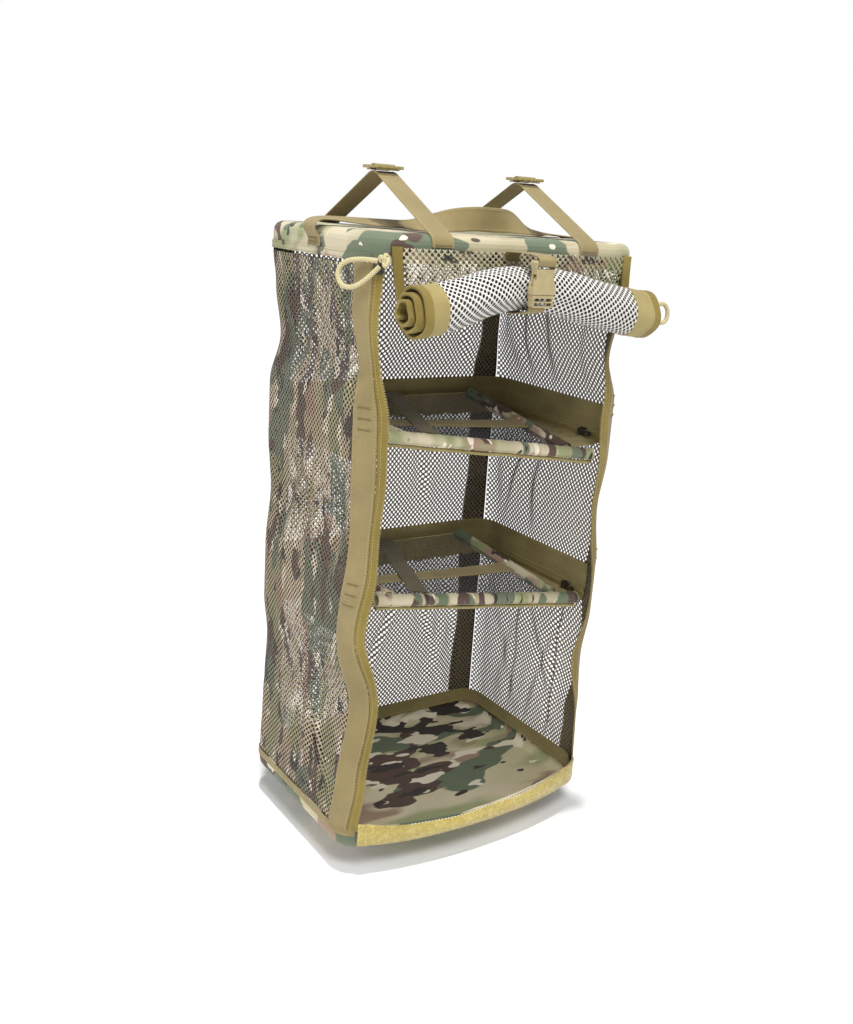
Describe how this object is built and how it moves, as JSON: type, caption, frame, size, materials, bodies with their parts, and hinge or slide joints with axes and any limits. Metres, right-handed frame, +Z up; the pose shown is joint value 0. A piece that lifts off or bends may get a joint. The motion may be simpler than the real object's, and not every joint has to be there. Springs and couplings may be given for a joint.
{
  "type": "camp storage shelf",
  "caption": "Hanging mesh camp cabinet with framed net shelves, a rolled-up door held by a buckle, strap loops for a bar, and a carry handle.",
  "frame": {"origin": "on the axis of the bar that the straps hang from, midway between the straps", "axes": "+Z up, -Y the front with the opening, +X to the right as one faces the opening"},
  "size_m": [0.3737, 0.2936, 0.7021],
  "materials": {
    "khaki_webbing": "woven khaki webbing, matt",
    "olive_tape": "woven olive tape, matt",
    "gold_tape": "olive-gold tape, matt",
    "camouflage_cloth": "camouflage printed cloth over a moulded board",
    "mesh_cloth": "see-through mesh, camouflage print outside, cream inside",
    "khaki_plastic": "khaki moulded plastic",
    "dark_metal": "dark painted metal"
  },
  "bodies": {
    "cabinet": {"roof_cap": "camouflage_cloth", "cap_binding": "khaki_webbing", "hanging_strap_left": "khaki_webbing", "hanging_strap_right": "khaki_webbing", "carry_handle": "khaki_webbing", "wall_back": "mesh_cloth", "wall_left": "mesh_cloth", "wall_right": "mesh_cloth", "corner_webbing_front_left": "khaki_webbing", "corner_webbing_front_right": "khaki_webbing", "corner_webbing_back_left": "khaki_webbing", "corner_webbing_back_right": "khaki_webbing", "opening_zip_left": "gold_tape", "opening_zip_right": "gold_tape", "door_mesh": "mesh_cloth", "door_tape_left": "gold_tape", "door_tape_right": "gold_tape", "door_strap_upper": "khaki_webbing", "door_strap_lower": "khaki_webbing", "buckle_female": "khaki_plastic", "roll_end_loop": "khaki_webbing"},
    "left_slide": {"adjuster_left": "khaki_plastic", "strap_end_left": "khaki_webbing"},
    "right_slide": {"adjuster_right": "khaki_plastic", "strap_end_right": "khaki_webbing"},
    "buckle_plug": {"buckle_male": "khaki_plastic"},
    "door_slider": {"door_zip_slider": "dark_metal", "door_pull_cord": "khaki_webbing"},
    "tray": {"bottom_tray": "camouflage_cloth", "tray_binding": "khaki_webbing", "loop_band": "gold_tape"},
    "upper_shelf": {"upper_wall_band": "olive_tape", "upper_zip_chain": "gold_tape", "upper_flange": "olive_tape", "upper_front_sleeve": "camouflage_cloth", "upper_left_sleeve": "camouflage_cloth", "upper_right_sleeve": "camouflage_cloth", "upper_front_rod": "khaki_plastic", "upper_left_rod": "khaki_plastic", "upper_right_rod": "khaki_plastic", "upper_front_piping": "khaki_webbing", "upper_net_floor": "mesh_cloth", "upper_cross_strap": "khaki_webbing", "upper_load_strap": "khaki_webbing"},
    "lower_shelf": {"lower_wall_band": "olive_tape", "lower_zip_chain": "gold_tape", "lower_flange": "olive_tape", "lower_front_sleeve": "camouflage_cloth", "lower_left_sleeve": "camouflage_cloth", "lower_right_sleeve": "camouflage_cloth", "lower_front_rod": "khaki_plastic", "lower_left_rod": "khaki_plastic", "lower_right_rod": "khaki_plastic", "lower_front_piping": "khaki_webbing", "lower_net_floor": "mesh_cloth", "lower_cross_strap": "khaki_webbing", "lower_load_strap": "khaki_webbing"},
    "upper_slider": {"upper_zip_slider": "dark_metal"},
    "lower_slider": {"lower_zip_slider": "dark_metal"}
  },
  "joints": [
    {"name": "collapse", "type": "slide", "parent": "cabinet", "child": "tray", "axis": [0, 0, 1], "range_m": [0, 0.497], "deforming": ["wall_back", "wall_left", "wall_right", "corner_webbing_front_left", "corner_webbing_front_right", "corner_webbing_back_left", "corner_webbing_back_right", "opening_zip_left", "opening_zip_right"]},
    {"name": "upper_shelf_rise", "type": "slide", "parent": "cabinet", "child": "upper_shelf", "axis": [0, 0, 1], "range_m": [0, 0.147]},
    {"name": "lower_shelf_rise", "type": "slide", "parent": "cabinet", "child": "lower_shelf", "axis": [0, 0, 1], "range_m": [0, 0.287]},
    {"name": "left_adjuster", "type": "hinge", "parent": "cabinet", "child": "left_slide", "pos_m": [-0.09, 0, 0], "axis": [1, 0, 0], "range_deg": [-18, 18]},
    {"name": "right_adjuster", "type": "hinge", "parent": "cabinet", "child": "right_slide", "pos_m": [0.09, 0, 0], "axis": [1, 0, 0], "range_deg": [-18, 18]},
    {"name": "buckle_release", "type": "slide", "parent": "cabinet", "child": "buckle_plug", "axis": [0, 0, -1], "range_m": [0, 0.022]},
    {"name": "door_zip", "type": "slide", "parent": "cabinet", "child": "door_slider", "axis": [0, 0, -1], "range_m": [0, 0.035]},
    {"name": "upper_shelf_zip", "type": "slide", "parent": "upper_shelf", "child": "upper_slider", "axis": [0, 1, 0], "range_m": [0, 0.13]},
    {"name": "lower_shelf_zip", "type": "slide", "parent": "lower_shelf", "child": "lower_slider", "axis": [0, 1, 0], "range_m": [0, 0.13]}
  ],
  "couplings": [
    {"joint": "upper_shelf_rise", "follows": "collapse", "ratio": 0.2958},
    {"joint": "lower_shelf_rise", "follows": "collapse", "ratio": 0.5775}
  ]
}
